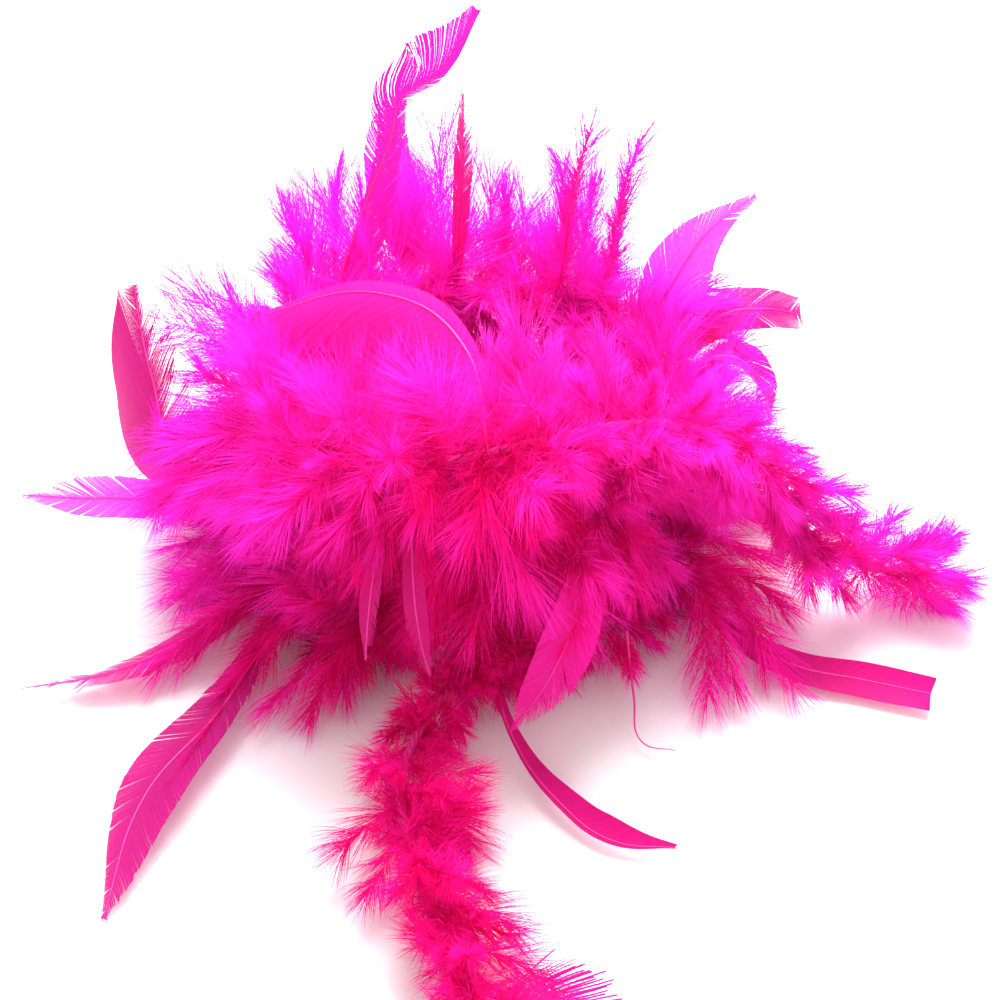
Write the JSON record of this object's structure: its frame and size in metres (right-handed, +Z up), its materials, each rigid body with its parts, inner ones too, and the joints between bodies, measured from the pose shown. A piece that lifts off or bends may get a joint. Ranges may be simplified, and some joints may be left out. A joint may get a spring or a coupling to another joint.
{
  "type": "feather boa",
  "caption": "Hot pink feather boa lying in a loose heap, with down all along a twisted core cord and long flat feathers standing out of it.",
  "frame": {"origin": "middle of the boa's whole box, on the table it lies on", "axes": "+Z up, -Y towards the person looking at the heap, +X to their right"},
  "size_m": [0.4023, 0.5101, 0.2241],
  "materials": {
    "core_cord": "twisted cotton strands, dyed deep pink, matt",
    "binding_thread": "waxed thread, dyed pink",
    "down": "soft dyed down feathers, see-through at their tips",
    "long_feathers": "flat dyed feathers with satin vanes"
  },
  "bodies": {
    "heap": {"core_heap": "core_cord", "feather_back_left": "long_feathers", "feather_back_low": "long_feathers", "feather_back_tall": "long_feathers", "feather_bare_quill": "long_feathers", "feather_broad": "long_feathers", "feather_broken_tip": "long_feathers", "feather_crest": "long_feathers", "feather_crest_edge": "long_feathers", "feather_curl": "long_feathers", "feather_curl_small_a": "long_feathers", "feather_curl_small_b": "long_feathers", "feather_edge_left": "long_feathers", "feather_fan_left": "long_feathers", "feather_folded": "long_feathers", "feather_plume_side": "long_feathers", "feather_plume_tall": "long_feathers", "feather_point_front": "long_feathers", "feather_point_left": "long_feathers", "feather_shoulder": "long_feathers", "feather_strap": "long_feathers", "feather_web": "long_feathers", "plumage_heap_01": "down", "plumage_heap_02": "down", "plumage_heap_03": "down", "plumage_heap_04": "down", "plumage_heap_05": "down", "plumage_heap_06": "down", "plumage_heap_07": "down", "plumage_heap_08": "down", "plumage_heap_09": "down", "plumage_heap_10": "down", "plumage_heap_11": "down", "plumage_heap_12": "down", "plumage_heap_13": "down", "plumage_heap_14": "down", "plumage_heap_15": "down", "plumage_heap_16": "down"},
    "front_tail": {"core_front_tail": "core_cord", "plumage_front_tail": "down"},
    "front_tip": {"binding_front": "binding_thread", "core_front_tip": "core_cord", "feather_tail_end": "long_feathers", "knot_front": "core_cord", "plumage_front_tip": "down"},
    "right_tail": {"core_right_tail": "core_cord", "plumage_right_tail": "down"},
    "right_tip": {"binding_right": "binding_thread", "core_right_tip": "core_cord", "knot_right": "core_cord", "plumage_right_tip": "down"}
  },
  "joints": [
    {"name": "front_tail_swing", "type": "hinge", "parent": "heap", "child": "front_tail", "pos_m": [-0.03979, -0.03529, 0.02], "axis": [0, 0, 1], "range_deg": [-25, 25]},
    {"name": "front_tip_lift", "type": "hinge", "parent": "front_tail", "child": "front_tip", "pos_m": [-0.01985, -0.13132, 0.02], "axis": [-0.9023, -0.4311, 0], "range_deg": [0, 65]},
    {"name": "right_tail_swing", "type": "hinge", "parent": "heap", "child": "right_tail", "pos_m": [0.10515, 0.0701, 0.08623], "axis": [0, 0, 1], "range_deg": [-15, 30]},
    {"name": "right_tip_lift", "type": "hinge", "parent": "right_tail", "child": "right_tip", "pos_m": [0.145, 0.067, 0.028], "axis": [-0.071, -0.9975, 0], "range_deg": [0, 60]}
  ]
}
